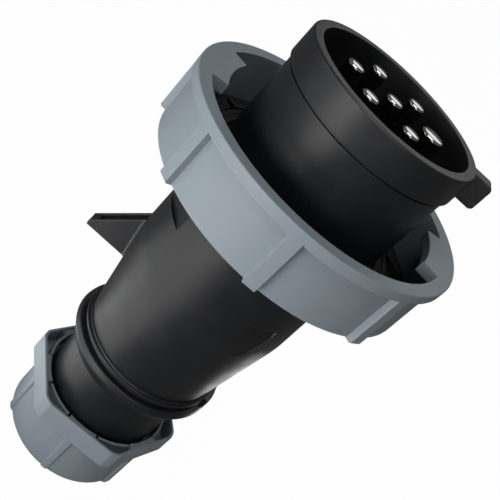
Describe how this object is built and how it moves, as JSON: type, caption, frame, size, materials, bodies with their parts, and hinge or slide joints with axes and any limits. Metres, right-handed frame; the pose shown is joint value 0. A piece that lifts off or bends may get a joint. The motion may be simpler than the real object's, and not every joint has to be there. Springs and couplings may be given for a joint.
{
  "type": "industrial power plug",
  "caption": "Watertight industrial power plug: pins in a keyed round collar, bayonet locking ring, tapered handle housing and cable gland nut.",
  "frame": {"origin": "centre of the cable opening in the rear face of the gland nut, on which the plug stands", "axes": "+Z along the plug towards the pins, +X through the key and the earth pin; the fin points to -X"},
  "size_m": [0.1032, 0.1032, 0.1825],
  "materials": {
    "black_polyamide": "injection moulded, fine satin grain",
    "grey_polyamide": "injection moulded, satin",
    "seal_rubber": "moulded, dull",
    "carrier_plastic": "moulded, dull",
    "cage_plastic": "moulded, slightly translucent",
    "steel": "zinc plated",
    "plated_brass": "nickel plated, polished"
  },
  "bodies": {
    "plug": {"front_housing": "black_polyamide", "flange_gasket": "seal_rubber", "contact_carrier": "carrier_plastic", "terminal_block": "carrier_plastic", "carrier_screws": "steel", "terminal_screws": "steel", "housing_seal": "seal_rubber", "housing_screws": "steel", "rear_housing": "black_polyamide", "gland_seal": "seal_rubber", "clamp_cage": "cage_plastic", "earth_pin": "plated_brass", "phase_pin_1": "plated_brass", "phase_pin_2": "plated_brass", "phase_pin_3": "plated_brass", "phase_pin_4": "plated_brass", "phase_pin_5": "plated_brass", "phase_pin_6": "plated_brass"},
    "ring": {"locking_ring": "grey_polyamide"},
    "washer": {"thrust_ring": "cage_plastic"},
    "nut": {"gland_nut": "grey_polyamide"}
  },
  "joints": [
    {"name": "ring_turn", "type": "hinge", "parent": "plug", "child": "ring", "pos_m": [0, 0, 0.1325], "axis": [0, 0, -1], "range_deg": [0, 40]},
    {"name": "nut_travel", "type": "slide", "parent": "plug", "child": "washer", "axis": [0, 0, -1], "range_m": [0, 0.006]},
    {"name": "nut_turn", "type": "hinge", "parent": "washer", "child": "nut", "pos_m": [0, 0, 0.015], "axis": [0, 0, -1], "range_deg": [0, 720]}
  ],
  "couplings": [
    {"joint": "nut_travel", "follows": "nut_turn", "m_per_rad": 0.00047746}
  ]
}
